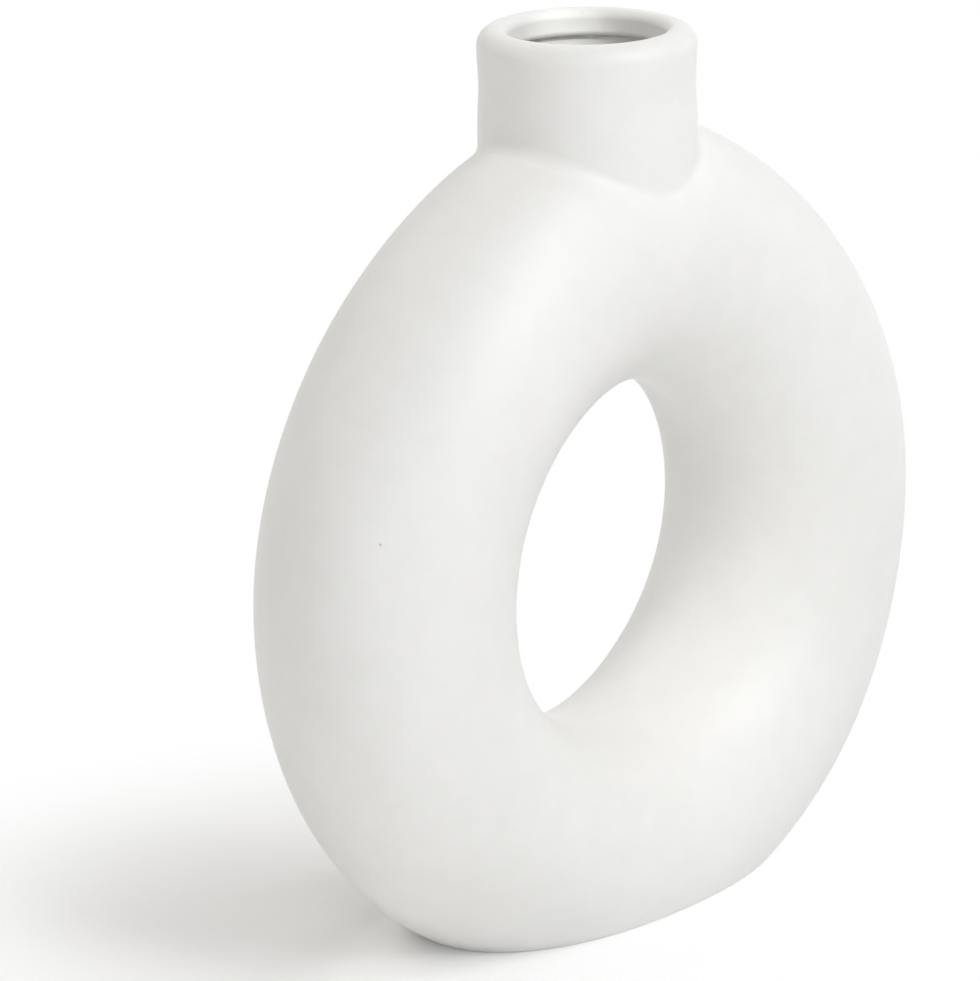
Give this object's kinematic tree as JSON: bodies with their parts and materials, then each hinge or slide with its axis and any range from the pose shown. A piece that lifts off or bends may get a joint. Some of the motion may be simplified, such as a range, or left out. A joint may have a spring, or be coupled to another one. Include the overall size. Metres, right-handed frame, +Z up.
{
  "type": "donut vase",
  "caption": "Hollow ring-shaped ceramic bud vase on a flat foot, with a short neck and rolled lip that take flower stems into the water inside the ring.",
  "frame": {"origin": "centre of the flat foot, on the surface that the vase stands on", "axes": "+Z up through the neck, X along the ring's width, Y through the ring's hole with the front face towards -Y"},
  "size_m": [0.191, 0.0624, 0.2],
  "materials": {
    "matte_glaze": "matte off-white glaze, fine grained, with a soft sheen",
    "bare_clay": "unglazed fired clay, dry and finely sanded"
  },
  "bodies": {
    "root": {"front_shell": "matte_glaze", "back_shell": "matte_glaze", "foot_slab": "bare_clay", "neck_collar": "matte_glaze", "lip_ring": "matte_glaze"}
  },
  "joints": []
}
